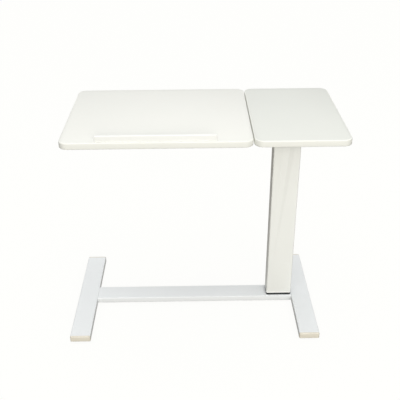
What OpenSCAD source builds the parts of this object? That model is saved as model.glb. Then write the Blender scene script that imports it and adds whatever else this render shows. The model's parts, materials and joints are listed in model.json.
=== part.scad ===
// Overbed table: an H-shaped steel base, a lifting column with a locking gas spring,
// a small fixed top over the column and a large top that tilts like a bookrest.
// Millimetres, +Z up, origin on the floor under the middle of the whole table.
// The user sits on the -Y side. The column stands towards +X.

/* [Table top] */
// Width over both tops
table_w = 800; // [640:5:960]
// Depth of both tops, front to back
table_d = 420; // [350:5:505]
// Height of the tops' upper face with the column down
table_h = 685; // [570:5:820]
// Width of the small fixed top
small_w = 267; // [240:1:330]
// Gap between the two tops
top_gap = 2.5; // [2:0.5:8]
// Thickness of a board
board_t = 19; // [16:0.5:25]
// Radius of a board's corners in plan
board_corner_r = 25; // [10:1:40]
// Thickness of the edge band round a board
band_t = 3; // [1:0.5:4]

/* [Book stop] */
// Length of the book stop
stop_l = 333; // [200:1:400]
// Thickness of the book stop, front to back
stop_t = 8; // [6:0.5:14]
// Height of the book stop above the board
stop_h = 18; // [10:1:30]
// Distance from the top's front edge to the book stop
stop_inset = 6; // [2:1:20]

/* [Base] */
// Length of a foot with its end caps
foot_len = 450; // [375:5:540]
// Width of a foot
foot_w = 64; // [52:1:80]
// Width of the crossbar
bar_w = 64; // [54:1:80]
// How far the crossbar and the column sit behind the middle of the feet
bar_back = 3.5; // [0:0.5:20]
// Height of the base tubes
tube_h = 20; // [16:1:30]
// Wall of the base tubes
tube_wall = 1.5; // [1:0.25:3]
// Corner radius of the base tubes
tube_corner_r = 3; // [2:0.25:4]
// Distance from the table's right edge to the right foot's middle
right_foot_inset = 73; // [60:1:100]
// Thickness of an end cap's visible flange
cap_flange = 6; // [5:0.5:8]
// Radius of an end cap's upright corners
cap_corner_r = 4; // [1:0.5:5]
// How far an end cap's plug goes into its tube
cap_plug = 16; // [8:1:20]
// Height of a floor glide under the tube
glide_h = 5; // [4:0.5:10]
// Diameter of a floor glide
glide_d = 34; // [24:1:40]
// Distance from a foot's end to its glide's middle
glide_inset = 40; // [38:1:60]

/* [Column] */
// Width of the outer column
col_w = 83; // [70:1:96]
// Depth of the outer column, front to back
col_d = 50; // [44:1:60]
// Wall of the outer column and of the inner column
col_wall = 2; // [1.5:0.25:3]
// Corner radius of the outer column
col_corner_r = 4; // [3:0.5:6]
// Gap between the outer column's wall and the inner column
slide_gap = 3; // [2.5:0.25:5]
// Gap between the outer column and the right foot
col_foot_gap = 2; // [1:0.5:12]
// Thickness of the black gasket and of the foot plate inside it
gasket_t = 7; // [3:0.5:10]
// Thickness of the lower guide's visible flange
guide_flange = 4; // [2:0.5:6]
// Length of each slide guide
guide_len = 60; // [40:5:80]
// Travel of the column
lift_range = 320; // [200:5:330]

/* [Gas spring] */
// Diameter of the cylinder
gas_d = 28; // [22:1:30]
// Wall of the cylinder
gas_wall = 1.5; // [1:0.25:2]
// Diameter of the rod
rod_d = 10; // [8:1:12]
// Diameter of the rod's threaded neck
neck_d = 8; // [7:0.5:8]
// Diameter of the release pin inside the rod
valve_d = 4; // [3:0.5:5]
// Length of rod that stays in the cylinder with the column up
rod_keep = 45; // [30:5:80]

/* [Support and tilt] */
// Outer diameter of the support tube under the large top
beam_d = 32; // [27:1:38]
// Wall of the support tube
beam_wall = 2; // [1.5:0.25:4]
// Distance from the large top's left edge to the support tube's end
beam_inset = 60; // [30:5:90]
// Distance from the large top's left edge to the left saddle's middle
saddle_inset = 105; // [100:5:130]
// Distance from the large top's right edge to the tilt quadrant
quad_inset = 80; // [70:5:100]
// Thickness of a saddle's plate
saddle_plate_t = 3; // [2:0.5:5]
// Thickness of a saddle's ring around its bush
saddle_ring_t = 2.5; // [2:0.5:5]
// Length of a saddle's ring along the tube
saddle_ring_l = 24; // [18:1:30]
// Wall of a tilt bush
bush_wall = 2; // [1.5:0.25:3]
// Largest tilt of the large top, in degrees
tilt_range = 35; // [20:1:40]
// Distance from the tilt axis to the clamp bolt
clamp_r = 42; // [40:1:48]
// Diameter of the clamp bolt
clamp_bolt_d = 8; // [6:1:10]
// Length of the clamp lever from its bolt
clamp_lever_l = 50; // [40:1:55]

/* [Release lever] */
// Distance from the table's right edge to the lever's end
lever_inset = 18; // [12:1:40]
// Thickness of the lever's plate
lever_t = 6; // [4:1:8]
// Distance from the lever's pivot to the release pin
lever_arm = 22; // [20:1:24]
// Diameter of the lever's pivot pin
pivot_d = 6; // [5:1:8]
// Length of the lever's grip
grip_l = 58; // [40:1:60]

/* [Clearances] */
// Radial clearance of a running fit
run_gap = 0.06; // [0.02:0.01:0.1]
// Clearance between a fixed piece and its seat
fixed_gap = 0.05; // [0.02:0.01:0.1]
// Gap between moving pieces that nearly touch
face_gap = 0.3; // [0.2:0.05:0.5]

/* [Hidden] */
$fn = 64;

// places of the tops
total_w = table_w + foot_w / 2;
top_x0 = -total_w / 2 + foot_w / 2;
top_x1 = top_x0 + table_w;
main_w = table_w - small_w - top_gap;
small_x0 = top_x1 - small_w;
main_x1 = top_x0 + main_w;
under_z = table_h - board_t;
main_mid_x = top_x0 + main_w / 2;
small_mid_x = top_x1 - small_w / 2;

// places of the base: the left foot's middle is under the large top's left edge
left_foot_x = top_x0;
right_foot_x = top_x1 - right_foot_inset;
bar_x0 = left_foot_x + foot_w / 2;
bar_x1 = right_foot_x - foot_w / 2;
bar_len = bar_x1 - bar_x0;
base_z = glide_h + tube_h;
tube_len = foot_len - 2 * cap_flange;
glide_y = foot_len / 2 - glide_inset;
glide_stem_d = 10;
glide_stem_l = tube_wall + 7;
cap_wall = 2;

// places of the column: it stands on the middle of the crossbar
col_x = bar_x1 - col_foot_gap - col_w / 2;
col_y = bar_back;
col_in_w = col_w - 2 * col_wall;
col_in_d = col_d - 2 * col_wall;
col_in_r = col_corner_r - col_wall;
inner_w = col_in_w - 2 * slide_gap;
inner_d = col_in_d - 2 * slide_gap;
bore_w = inner_w - 2 * col_wall;
bore_d = inner_d - 2 * col_wall;
plate_top_z = base_z + gasket_t;
guide_z = plate_top_z + face_gap;
sleeve_z = guide_z + guide_flange;
slide_clear = 0.15;

// head of the column
head_t = 4;
head_w = 120;
head_d = 170;
head_corner_r = 12;
head_z = under_z - head_t;
block_t = 16;
block_w = 40;
pivot_z = head_z - 12;
nose_r = 6;
boss_r = 8;
pin_top_z = pivot_z - 8;
nut_t = 6;
block_z = pin_top_z - 4 - nut_t - block_t;
neck_top_z = block_z + block_t + nut_t;
block_screw_d = 6;
block_screw_l = 12;
inner_top_z = block_z - 16;
guide_cap_t = 3;

// gas spring
spring_pin_d = 8;
spring_pin_z = plate_top_z + 25;
eye_r = 10;
eye_t = 14;
gas_z0 = spring_pin_z + eye_r + 6;
gas_z1 = inner_top_z - 20;
gas_in_d = gas_d - 2 * gas_wall;
gland_l = 12;
gland_flange = 4;
piston_t = 15;
rod_z0 = gas_z1 - lift_range - rod_keep;
valve_l = 40;

// release lever
pivot_x = col_x + lever_arm;
lever_range = 8;
lever_stroke = lever_arm * lever_range * PI / 180;
lever_x1 = top_x1 - lever_inset;
lever_bar_h = 12;
lever_low_z = pivot_z - 20;
lever_bend_x = col_x + 50;
lever_drop_x = col_x + 66;
lever_slot_w = lever_t + 6;
lever_slot_z = lever_low_z - 2;
grip_h = 18;
grip_w = 30;

// support tube and tilt
ring_r = beam_d / 2 + bush_wall + saddle_ring_t;
beam_z = under_z - saddle_plate_t - ring_r;
beam_y = col_y;
beam_x0 = top_x0 + beam_inset;
beam_x1 = col_x - col_w / 2;
saddle_left_x = top_x0 + saddle_inset;
saddle_w = 60;
saddle_d = 130;
collar_w = 10;
collar_r = ring_r - 1;
bush_flange = 2;
quad_x0 = main_x1 - quad_inset;
quad_t = 4;
quad_flange_w = 30;
saddle_right_x = quad_x0 - quad_flange_w - saddle_w / 2 - 5;
quad_flange_d = 110;
quad_r = clamp_r + 10;
quad_side = 14;
slot_r = clamp_bolt_d / 2 + face_gap;
arm_x0 = quad_x0 + quad_t + face_gap;
arm_t = 5;
hub_x0 = arm_x0 + arm_t + face_gap;
hub_l = 18;
hub_r = 12;
insert_r = 8;
washer_t = 2;
washer_r = 9;
clamp_z = beam_z - clamp_r;

// screws
wood_d = 4;
wood_head_d = 8;
wood_head_t = 2.5;
wood_bite = 13;
bolt_d = 6;
bolt_head_d = 12;
bolt_head_t = 3;
bolt_dx = 22;
bolt_dy = 11;
spacer_d = 12;
head_screw_dx = 48;
head_screw_dy = 70;
saddle_screw_dx = 20;
saddle_screw_dy = 52;
quad_screw_dy = 44;
stop_screw_dx = 120;
stop_screw_bite = 12;

// ---- shared shapes ----

// rectangle with round corners, centred
module rounded_rect(w, d, r) {
    square([w - 2 * r, d], center = true);
    square([w, d - 2 * r], center = true);
    for (sx = [-1, 1], sy = [-1, 1])
        translate([sx * (w / 2 - r), sy * (d / 2 - r)]) circle(r = r);
}

// upright bar of rounded section from z0 to z1
module upright(w, d, r, z0, z1) {
    translate([0, 0, z0]) linear_extrude(height = z1 - z0) rounded_rect(w, d, r);
}

// upright hollow of rounded section
module upright_tube(w, d, r, wall, z0, z1) {
    translate([0, 0, z0]) linear_extrude(height = z1 - z0) difference() {
        rounded_rect(w, d, r);
        rounded_rect(w - 2 * wall, d - 2 * wall, max(r - wall, 0.5));
    }
}

// base tube section, centred, drawn w wide and tube_h high
module base_section(w) {
    difference() {
        rounded_rect(w, tube_h, tube_corner_r);
        rounded_rect(w - 2 * tube_wall, tube_h - 2 * tube_wall, tube_corner_r - tube_wall);
    }
}

// cylinder along X from x0 to x1, on the axis y = 0, z = 0
module x_rod(r, x0, x1) {
    translate([x0, 0, 0]) rotate([0, 90, 0]) cylinder(r = r, h = x1 - x0);
}

// cylinder along Y from y0 to y1, on the axis x = 0, z = 0
module y_rod(r, y0, y1) {
    translate([0, y0, 0]) rotate([-90, 0, 0]) cylinder(r = r, h = y1 - y0);
}

// plate in the YZ plane, from x = 0 to x = t; its outline is drawn as [y, z]
module yz_plate(t) {
    rotate([90, 0, 90]) linear_extrude(height = t) children();
}

// plate in the XZ plane, centred on y = 0; its outline is drawn as [x, z]
module xz_plate(t) {
    translate([0, t / 2, 0]) rotate([90, 0, 0]) linear_extrude(height = t) children();
}

// screw that points up: its head's upper face is at z = 0
module up_screw(d, l, head_d, head_t) {
    translate([0, 0, -head_t]) cylinder(d = head_d, h = head_t);
    cylinder(d = d, h = l);
}

// hole that an upward screw of length l leaves
module up_screw_hole(d, l) {
    translate([0, 0, -1]) cylinder(d = d + 2 * fixed_gap, h = l + 1 + fixed_gap);
}

// ---- where things repeat ----

module at_foot_ends() {
    for (x = [left_foot_x, right_foot_x], sy = [-1, 1])
        translate([x, 0, 0]) rotate([0, 0, sy > 0 ? 0 : 180]) children();
}

module at_column() {
    translate([col_x, col_y, 0]) children();
}

module at_column_bolts() {
    for (sx = [-1, 1], sy = [-1, 1])
        translate([col_x + sx * bolt_dx, col_y + sy * bolt_dy, 0]) children();
}

module at_beam() {
    translate([0, beam_y, beam_z]) children();
}

module at_head_screws() {
    for (sx = [-1, 0, 1], sy = [-1, 1])
        translate([col_x + sx * head_screw_dx, col_y + sy * head_screw_dy, head_z]) children();
}

module at_saddle_screws(x) {
    for (sx = [-1, 1], sy = [-1, 1])
        translate([x + sx * saddle_screw_dx, beam_y + sy * saddle_screw_dy,
            under_z - saddle_plate_t]) children();
}

module at_quadrant_screws() {
    for (sy = [-1, 1])
        translate([quad_x0 - quad_flange_w / 2, beam_y + sy * quad_screw_dy,
            under_z - quad_t]) children();
}

module at_stop_screws() {
    for (s = [-1, 0, 1])
        translate([main_mid_x + s * stop_screw_dx,
            -table_d / 2 + stop_inset + stop_t / 2, under_z]) children();
}

module at_block_screws() {
    for (sx = [-1, 1], side = [0, 180])
        translate([col_x + sx * block_w / 4, col_y, block_z + block_t / 2])
            rotate([0, 0, side]) translate([0, col_d / 2, 0]) children();
}

// ---- base ----

module foot(x) {
    difference() {
        translate([x, tube_len / 2, glide_h + tube_h / 2]) rotate([90, 0, 0])
            linear_extrude(height = tube_len) base_section(foot_w);
        for (sy = [-1, 1]) translate([x, sy * glide_y, glide_h - 1])
            cylinder(d = glide_stem_d + 2 * fixed_gap, h = tube_wall + 2);
    }
}

module left_foot() { color("#ebecec") foot(left_foot_x); }

module right_foot() { color("#e1e5e6") foot(right_foot_x); }

module crossbar() {
    color("#e5e9ea") difference() {
        translate([bar_x0, bar_back, glide_h + tube_h / 2]) rotate([90, 0, 90])
            linear_extrude(height = bar_len) base_section(bar_w);
        at_column_bolts() translate([0, 0, glide_h - 1])
            cylinder(d = bolt_d + 2 * fixed_gap, h = tube_h + 2);
    }
}

// a flange with round corners that closes the tube's end, and a hollow plug inside it
module foot_end_cap() {
    plug_w = foot_w - 2 * tube_wall - 2 * fixed_gap;
    plug_h = tube_h - 2 * tube_wall - 2 * fixed_gap;
    outline_d = 2 * (cap_flange + cap_corner_r);
    translate([0, foot_len / 2, glide_h + tube_h / 2]) rotate([90, 0, 0]) {
        intersection() {
            linear_extrude(height = cap_flange) rounded_rect(foot_w, tube_h, tube_corner_r);
            rotate([-90, 0, 0]) translate([0, -outline_d / 2, -tube_h])
                linear_extrude(height = 2 * tube_h) rounded_rect(foot_w, outline_d, cap_corner_r);
        }
        translate([0, 0, cap_flange]) linear_extrude(height = cap_plug) difference() {
            rounded_rect(plug_w, plug_h, tube_corner_r - tube_wall);
            square([plug_w - 2 * cap_wall, plug_h - 2 * cap_wall], center = true);
        }
    }
}

module foot_end_caps() { color("#dfdcc9") at_foot_ends() foot_end_cap(); }

// a low puck with a chamfered lower edge and a stem that presses into the tube
module floor_glide() {
    translate([0, glide_y, 0]) {
        cylinder(d1 = glide_d - 2, d2 = glide_d, h = 1);
        translate([0, 0, 1]) cylinder(d = glide_d, h = glide_h - 1);
        translate([0, 0, glide_h]) cylinder(d = glide_stem_d, h = glide_stem_l);
    }
}

module floor_glides() { color("#3a3c3e") at_foot_ends() floor_glide(); }

module crossbar_spacers() {
    color("silver") at_column_bolts() translate([0, 0, glide_h + tube_wall]) difference() {
        cylinder(d = spacer_d, h = tube_h - 2 * tube_wall);
        translate([0, 0, -1]) cylinder(d = bolt_d + 2 * fixed_gap, h = tube_h);
    }
}

module column_bolts() {
    color("silver") at_column_bolts() translate([0, 0, glide_h])
        up_screw(bolt_d, plate_top_z - glide_h, bolt_head_d, bolt_head_t);
}

module column_foot_plate() {
    color("#c9cccd") difference() {
        at_column() upright(inner_w, inner_d, col_corner_r, base_z, plate_top_z);
        at_column_bolts() translate([0, 0, base_z - 1])
            cylinder(d = bolt_d + 2 * fixed_gap, h = gasket_t + 2);
    }
}

module foot_gasket() {
    color("#2c2e30") at_column() difference() {
        upright(col_w, col_d, col_corner_r, base_z, plate_top_z);
        upright(inner_w + 2 * face_gap, inner_d + 2 * face_gap, col_corner_r,
            base_z - 1, plate_top_z + 1);
    }
}

module inner_column() {
    color("#c9cccd") at_column() difference() {
        upright_tube(inner_w, inner_d, col_corner_r, col_wall, plate_top_z, inner_top_z);
        translate([0, 0, spring_pin_z])
            y_rod(spring_pin_d / 2 + fixed_gap, -inner_d, inner_d);
    }
}

// a nylon collar round the inner column's top, with a rim over its wall
module upper_guide() {
    color("#f2f2ee") at_column() difference() {
        upright(col_in_w - 2 * slide_clear, col_in_d - 2 * slide_clear, col_in_r,
            inner_top_z - guide_len, inner_top_z + guide_cap_t);
        upright(inner_w + 2 * fixed_gap, inner_d + 2 * fixed_gap, col_corner_r,
            inner_top_z - guide_len - 1, inner_top_z);
        upright(bore_w, bore_d, col_in_r, inner_top_z - 1, inner_top_z + guide_cap_t + 1);
    }
}

module gas_spring_cylinder() {
    color("#26282a") at_column() {
        difference() {
            union() {
                translate([0, 0, spring_pin_z]) y_rod(eye_r, -eye_t / 2, eye_t / 2);
                translate([0, 0, spring_pin_z]) cylinder(r = eye_t / 2, h = gas_z0 - spring_pin_z);
            }
            translate([0, 0, spring_pin_z])
                y_rod(spring_pin_d / 2 + fixed_gap, -eye_r, eye_r);
        }
        translate([0, 0, gas_z0]) difference() {
            cylinder(d = gas_d, h = gas_z1 - gas_z0);
            translate([0, 0, 3]) cylinder(d = gas_in_d, h = gas_z1 - gas_z0);
        }
    }
}

module gas_spring_gland() {
    color("#151617") at_column() difference() {
        union() {
            translate([0, 0, gas_z1 - gland_l])
                cylinder(d = gas_in_d - 2 * fixed_gap, h = gland_l);
            translate([0, 0, gas_z1]) cylinder(d = gas_d, h = gland_flange);
        }
        translate([0, 0, gas_z1 - gland_l - 1])
            cylinder(d = rod_d + 2 * run_gap, h = gland_l + gland_flange + 2);
    }
}

module gas_spring_pin() {
    color("silver") at_column() translate([0, 0, spring_pin_z])
        y_rod(spring_pin_d / 2, -inner_d / 2, inner_d / 2);
}

// ---- lifting column ----

module outer_column() {
    color("#ecece6") difference() {
        at_column() upright_tube(col_w, col_d, col_corner_r, col_wall, sleeve_z, head_z);
        translate([pivot_x, col_y, pivot_z]) y_rod(pivot_d / 2 + fixed_gap, -col_d, col_d);
        translate([col_x, col_y - lever_slot_w / 2, lever_slot_z])
            cube([col_w, lever_slot_w, head_z - lever_slot_z + 1]);
        at_block_screws()
            y_rod(block_screw_d / 2 + fixed_gap, -2 * col_wall, col_wall);
    }
}

// a nylon collar in the outer column's foot, with the white rim that shows below it
module lower_guide() {
    color("#f8f8f4") at_column() difference() {
        union() {
            upright(col_w, col_d, col_corner_r, guide_z, sleeve_z);
            upright(col_in_w - 2 * fixed_gap, col_in_d - 2 * fixed_gap, col_in_r,
                sleeve_z, sleeve_z + guide_len);
        }
        upright(inner_w + 2 * slide_clear, inner_d + 2 * slide_clear, col_corner_r,
            guide_z - 1, sleeve_z + guide_len + 1);
    }
}

module gas_spring_rod() {
    color("#d5d8da") at_column() difference() {
        union() {
            translate([0, 0, rod_z0]) cylinder(d = rod_d, h = block_z - rod_z0);
            translate([0, 0, block_z]) cylinder(d = neck_d, h = neck_top_z - block_z);
        }
        translate([0, 0, pin_top_z - valve_l - 2 * lever_stroke])
            cylinder(d = valve_d + 2 * run_gap, h = valve_l + 3 * lever_stroke);
    }
}

module gas_spring_piston() {
    color("#151617") at_column() translate([0, 0, rod_z0]) difference() {
        cylinder(d = gas_in_d - 2 * run_gap, h = piston_t);
        translate([0, 0, -1]) cylinder(d = rod_d + 2 * fixed_gap, h = piston_t + 2);
    }
}

module release_head() {
    block_d = col_in_d - 2 * fixed_gap;
    color("#9da1a3") difference() {
        translate([col_x - block_w / 2, col_y - block_d / 2, block_z])
            cube([block_w, block_d, block_t]);
        at_column() translate([0, 0, block_z - 1])
            cylinder(d = neck_d + 2 * fixed_gap, h = block_t + 2);
        at_block_screws() y_rod(block_screw_d / 2 + fixed_gap, -block_screw_l - 1, 0);
    }
}

module release_head_screws() {
    color("silver") at_block_screws() {
        y_rod(block_screw_d / 2, -block_screw_l, 0);
        y_rod(5.5, 0, 3);
    }
}

module rod_nut() {
    color("silver") at_column() translate([0, 0, block_z + block_t]) difference() {
        cylinder(d = 15, h = nut_t, $fn = 6);
        translate([0, 0, -1]) cylinder(d = neck_d + 2 * fixed_gap, h = nut_t + 2);
    }
}

module lever_pivot_pin() {
    color("silver") translate([pivot_x, col_y, pivot_z])
        y_rod(pivot_d / 2, -col_d / 2, col_d / 2);
}

module head_plate() {
    color("#e5e9ea") difference() {
        at_column() upright(head_w, head_d, head_corner_r, head_z, under_z);
        at_head_screws() up_screw_hole(wood_d, head_t + 1);
    }
}

// two triangular plates between the column and the head plate
module head_gussets() {
    reach = 40;
    color("#e5e9ea") at_column() for (side = [0, 180]) rotate([0, 0, side])
        translate([-head_t / 2 - 20, 0, 0]) for (dx = [0, 40]) translate([dx, 0, 0])
            yz_plate(head_t) polygon([[col_d / 2, head_z], [col_d / 2 + reach, head_z],
                [col_d / 2 + reach, head_z - 5], [col_d / 2 + 5, head_z - reach],
                [col_d / 2, head_z - reach]]);
}

// ---- support of the large top ----

module support_tube() {
    color("#e5e9ea") at_beam() difference() {
        x_rod(beam_d / 2, beam_x0, beam_x1);
        x_rod(beam_d / 2 - beam_wall, beam_x0 - 1, beam_x1 + 1);
    }
}

module support_gusset() {
    low = beam_z - beam_d / 2;
    reach = 50;
    drop = 32;
    color("#e5e9ea") translate([beam_x1, beam_y, 0]) xz_plate(head_t)
        polygon([[0, low], [-reach, low], [-reach, low - 4], [-5, low - drop], [0, low - drop]]);
}

module support_tube_cap() {
    color("#3a3c3e") at_beam() {
        x_rod(beam_d / 2, beam_x0 - 3, beam_x0);
        x_rod(beam_d / 2 - beam_wall - fixed_gap, beam_x0, beam_x0 + 12);
    }
}

module retaining_collar() {
    x1 = saddle_left_x - saddle_ring_l / 2 - bush_flange - face_gap;
    color("#9da1a3") at_beam() difference() {
        x_rod(collar_r, x1 - collar_w, x1);
        x_rod(beam_d / 2 + fixed_gap, x1 - collar_w - 1, x1 + 1);
    }
}

// collar and arm on the support tube that hold the clamp bolt
module clamp_arm() {
    color("#9da1a3") at_beam() translate([arm_x0, 0, 0]) yz_plate(arm_t) difference() {
        union() {
            circle(r = collar_r);
            translate([-9, -clamp_r]) square([18, clamp_r]);
            translate([0, -clamp_r]) circle(r = 11);
        }
        circle(r = beam_d / 2 + fixed_gap);
        translate([0, -clamp_r]) circle(r = clamp_bolt_d / 2 + fixed_gap);
    }
}

module clamp_bolt() {
    color("silver") translate([0, beam_y, clamp_z]) {
        x_rod(7, quad_x0 - face_gap - washer_t - 5, quad_x0 - face_gap - washer_t);
        x_rod(clamp_bolt_d / 2, quad_x0 - face_gap - washer_t, hub_x0 + hub_l - 2);
    }
}

module clamp_washer() {
    x1 = quad_x0 - face_gap;
    color("silver") translate([0, beam_y, clamp_z]) difference() {
        x_rod(washer_r, x1 - washer_t, x1);
        x_rod(clamp_bolt_d / 2 + fixed_gap, x1 - washer_t - 1, x1 + 1);
    }
}

// ---- boards ----

// board without its edge band
module board_core(w, mid_x) {
    translate([mid_x, 0, 0])
        upright(w - 2 * band_t, table_d - 2 * band_t, board_corner_r - band_t, under_z, table_h);
}

module edge_band(w, mid_x) {
    translate([mid_x, 0, 0]) difference() {
        upright(w, table_d, board_corner_r, under_z, table_h);
        upright(w - 2 * band_t + 2 * fixed_gap, table_d - 2 * band_t + 2 * fixed_gap,
            board_corner_r - band_t + fixed_gap, under_z - 1, table_h + 1);
    }
}

module small_top_board() {
    color("#e9ece5") difference() {
        board_core(small_w, small_mid_x);
        at_head_screws() up_screw_hole(wood_d, head_t + wood_bite);
    }
}

module small_top_edge_band() { color("#f1f2ea") edge_band(small_w, small_mid_x); }

module small_top_screws() {
    color("silver") at_head_screws()
        up_screw(wood_d, head_t + wood_bite, wood_head_d, wood_head_t);
}

module main_top_board() {
    color("#f3f4ee") difference() {
        board_core(main_w, main_mid_x);
        for (x = [saddle_left_x, saddle_right_x])
            at_saddle_screws(x) up_screw_hole(wood_d, saddle_plate_t + wood_bite);
        at_quadrant_screws() up_screw_hole(wood_d, quad_t + wood_bite);
        at_stop_screws() up_screw_hole(wood_d, board_t + 1);
    }
}

module main_top_edge_band() { color("#f4f4ea") edge_band(main_w, main_mid_x); }

module book_stop() {
    color("#fbfbf6") difference() {
        translate([main_mid_x, -table_d / 2 + stop_inset + stop_t / 2, 0])
            upright(stop_l, stop_t, stop_t / 2 - 0.5, table_h, table_h + stop_h);
        at_stop_screws() up_screw_hole(wood_d, board_t + stop_screw_bite);
    }
}

module book_stop_screws() {
    color("silver") at_stop_screws()
        up_screw(wood_d, board_t + stop_screw_bite, wood_head_d, wood_head_t);
}

// ---- brackets of the large top ----

module saddle(x) {
    plate_z = under_z - saddle_plate_t;
    color("#9da1a3") difference() {
        union() {
            translate([x, beam_y, 0]) upright(saddle_w, saddle_d, 6, plate_z, under_z);
            translate([x - saddle_ring_l / 2, beam_y - ring_r, beam_z])
                cube([saddle_ring_l, 2 * ring_r, ring_r]);
            at_beam() x_rod(ring_r, x - saddle_ring_l / 2, x + saddle_ring_l / 2);
        }
        at_beam() x_rod(beam_d / 2 + bush_wall + fixed_gap, x - saddle_ring_l, x + saddle_ring_l);
        at_saddle_screws(x) up_screw_hole(wood_d, saddle_plate_t + 1);
    }
}

module left_saddle() { saddle(saddle_left_x); }

module right_saddle() { saddle(saddle_right_x); }

// two flanged nylon bushes: each flange is on its saddle's outer side
module tilt_bushes() {
    color("#f2f2ee") for (end = [[saddle_left_x, -1], [saddle_right_x, 1]])
        at_beam() translate([end[0], 0, 0]) difference() {
            union() {
                x_rod(beam_d / 2 + bush_wall, -saddle_ring_l / 2, saddle_ring_l / 2);
                translate([end[1] * (saddle_ring_l + bush_flange) / 2, 0, 0])
                    x_rod(ring_r, -bush_flange / 2, bush_flange / 2);
            }
            x_rod(beam_d / 2 + run_gap, -saddle_ring_l, saddle_ring_l);
        }
}

// bracket with the curved slot that limits the tilt
module tilt_quadrant() {
    plate_h = under_z - quad_t - beam_z;
    sector_from = -90 - tilt_range - quad_side;
    sector_to = -90 + quad_side;
    far = 3 * quad_r;
    color("#9da1a3") difference() {
        union() {
            translate([quad_x0 - quad_flange_w, beam_y - quad_flange_d / 2, under_z - quad_t])
                cube([quad_flange_w + quad_t, quad_flange_d, quad_t]);
            at_beam() translate([quad_x0, 0, 0]) yz_plate(quad_t) {
                translate([-30, 0]) square([60, plate_h]);
                intersection() {
                    circle(r = 30);
                    translate([-30, -30]) square([60, 30]);
                }
                intersection() {
                    circle(r = quad_r);
                    polygon([[0, 0], far * [cos(sector_from), sin(sector_from)],
                        far * [cos(sector_to), sin(sector_to)]]);
                }
            }
        }
        at_beam() {
            x_rod(beam_d / 2 + 1.5, quad_x0 - 1, quad_x0 + quad_t + 1);
            translate([quad_x0 - 1, 0, 0]) yz_plate(quad_t + 2) {
                intersection() {
                    difference() {
                        circle(r = clamp_r + slot_r);
                        circle(r = clamp_r - slot_r);
                    }
                    polygon([[0, 0], far * [cos(-90 - tilt_range), sin(-90 - tilt_range)],
                        far * [0, -1]]);
                }
                for (a = [0, tilt_range])
                    rotate(-90 - a) translate([clamp_r, 0]) circle(r = slot_r);
            }
        }
        at_quadrant_screws() up_screw_hole(wood_d, quad_t + 1);
    }
}

module bracket_screws() {
    color("silver") {
        for (x = [saddle_left_x, saddle_right_x]) at_saddle_screws(x)
            up_screw(wood_d, saddle_plate_t + wood_bite, wood_head_d, wood_head_t);
        at_quadrant_screws() up_screw(wood_d, quad_t + wood_bite, wood_head_d, wood_head_t);
    }
}

// ---- clamp lever ----

module clamp_lever() {
    color("#3a3c3e") translate([0, beam_y, clamp_z]) difference() {
        union() {
            x_rod(hub_r, hub_x0, hub_x0 + hub_l);
            translate([hub_x0 + hub_l / 2, 0, 0]) {
                translate([0, -clamp_lever_l + 7, 0]) rotate([-90, 0, 0])
                    cylinder(r1 = 7, r2 = 5, h = clamp_lever_l - 7 - hub_r + 2);
                translate([0, -clamp_lever_l + 7, 0]) sphere(r = 7);
            }
        }
        x_rod(insert_r + fixed_gap, hub_x0 - 1, hub_x0 + hub_l - 4);
        x_rod(clamp_bolt_d / 2 + run_gap, hub_x0 - 1, hub_x0 + hub_l - 1.5);
    }
}

module clamp_lever_insert() {
    color("#b5a36a") translate([0, beam_y, clamp_z]) difference() {
        x_rod(insert_r, hub_x0, hub_x0 + hub_l - 4 - fixed_gap);
        x_rod(clamp_bolt_d / 2 + run_gap, hub_x0 - 1, hub_x0 + hub_l);
    }
}

// ---- release lever ----

// flat bar with a round nose over the release pin and a round boss at its pivot
module release_lever() {
    bar_top = pivot_z + lever_bar_h / 2;
    bar_low = pivot_z - lever_bar_h / 2;
    low_top = lever_low_z + lever_bar_h;
    color("#9da1a3") translate([0, col_y, 0]) difference() {
        union() {
            translate([col_x, 0, pin_top_z + face_gap + nose_r])
                y_rod(nose_r, -lever_t / 2, lever_t / 2);
            translate([pivot_x, 0, pivot_z]) y_rod(boss_r, -lever_t / 2, lever_t / 2);
            xz_plate(lever_t) polygon([[col_x, bar_top], [lever_bend_x, bar_top],
                [lever_drop_x, low_top], [lever_x1, low_top], [lever_x1, lever_low_z],
                [lever_drop_x - 6, lever_low_z], [lever_bend_x - 6, bar_low],
                [col_x, bar_low]]);
        }
        translate([pivot_x, 0, pivot_z]) y_rod(pivot_d / 2 + run_gap, -lever_t, lever_t);
    }
}

// plastic grip pushed over the lever's end
module lever_grip() {
    mid_z = lever_low_z + lever_bar_h / 2;
    x0 = lever_x1 - grip_l + 4;
    color("#3a3c3e") translate([0, col_y, mid_z]) difference() {
        translate([x0, 0, 0]) rotate([90, 0, 90]) linear_extrude(height = grip_l)
            rounded_rect(grip_w, grip_h, 6);
        translate([x0 - 1, -lever_t / 2 - fixed_gap, -lever_bar_h / 2 - fixed_gap])
            cube([grip_l - 3 + fixed_gap, lever_t + 2 * fixed_gap, lever_bar_h + 2 * fixed_gap]);
    }
}

module release_pin() {
    color("silver") at_column() translate([0, 0, pin_top_z - valve_l])
        cylinder(d = valve_d, h = valve_l);
}

left_foot();
right_foot();
crossbar();
foot_end_caps();
floor_glides();
crossbar_spacers();
column_bolts();
column_foot_plate();
foot_gasket();
inner_column();
upper_guide();
gas_spring_cylinder();
gas_spring_gland();
gas_spring_pin();
outer_column();
lower_guide();
gas_spring_rod();
gas_spring_piston();
release_head();
release_head_screws();
rod_nut();
lever_pivot_pin();
head_plate();
head_gussets();
support_tube();
support_gusset();
support_tube_cap();
retaining_collar();
clamp_arm();
clamp_bolt();
clamp_washer();
small_top_board();
small_top_edge_band();
small_top_screws();
release_lever();
lever_grip();
release_pin();
main_top_board();
main_top_edge_band();
book_stop();
book_stop_screws();
left_saddle();
right_saddle();
tilt_bushes();
tilt_quadrant();
bracket_screws();
clamp_lever();
clamp_lever_insert();
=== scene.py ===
"""Overbed table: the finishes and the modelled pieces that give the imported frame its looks."""

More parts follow.
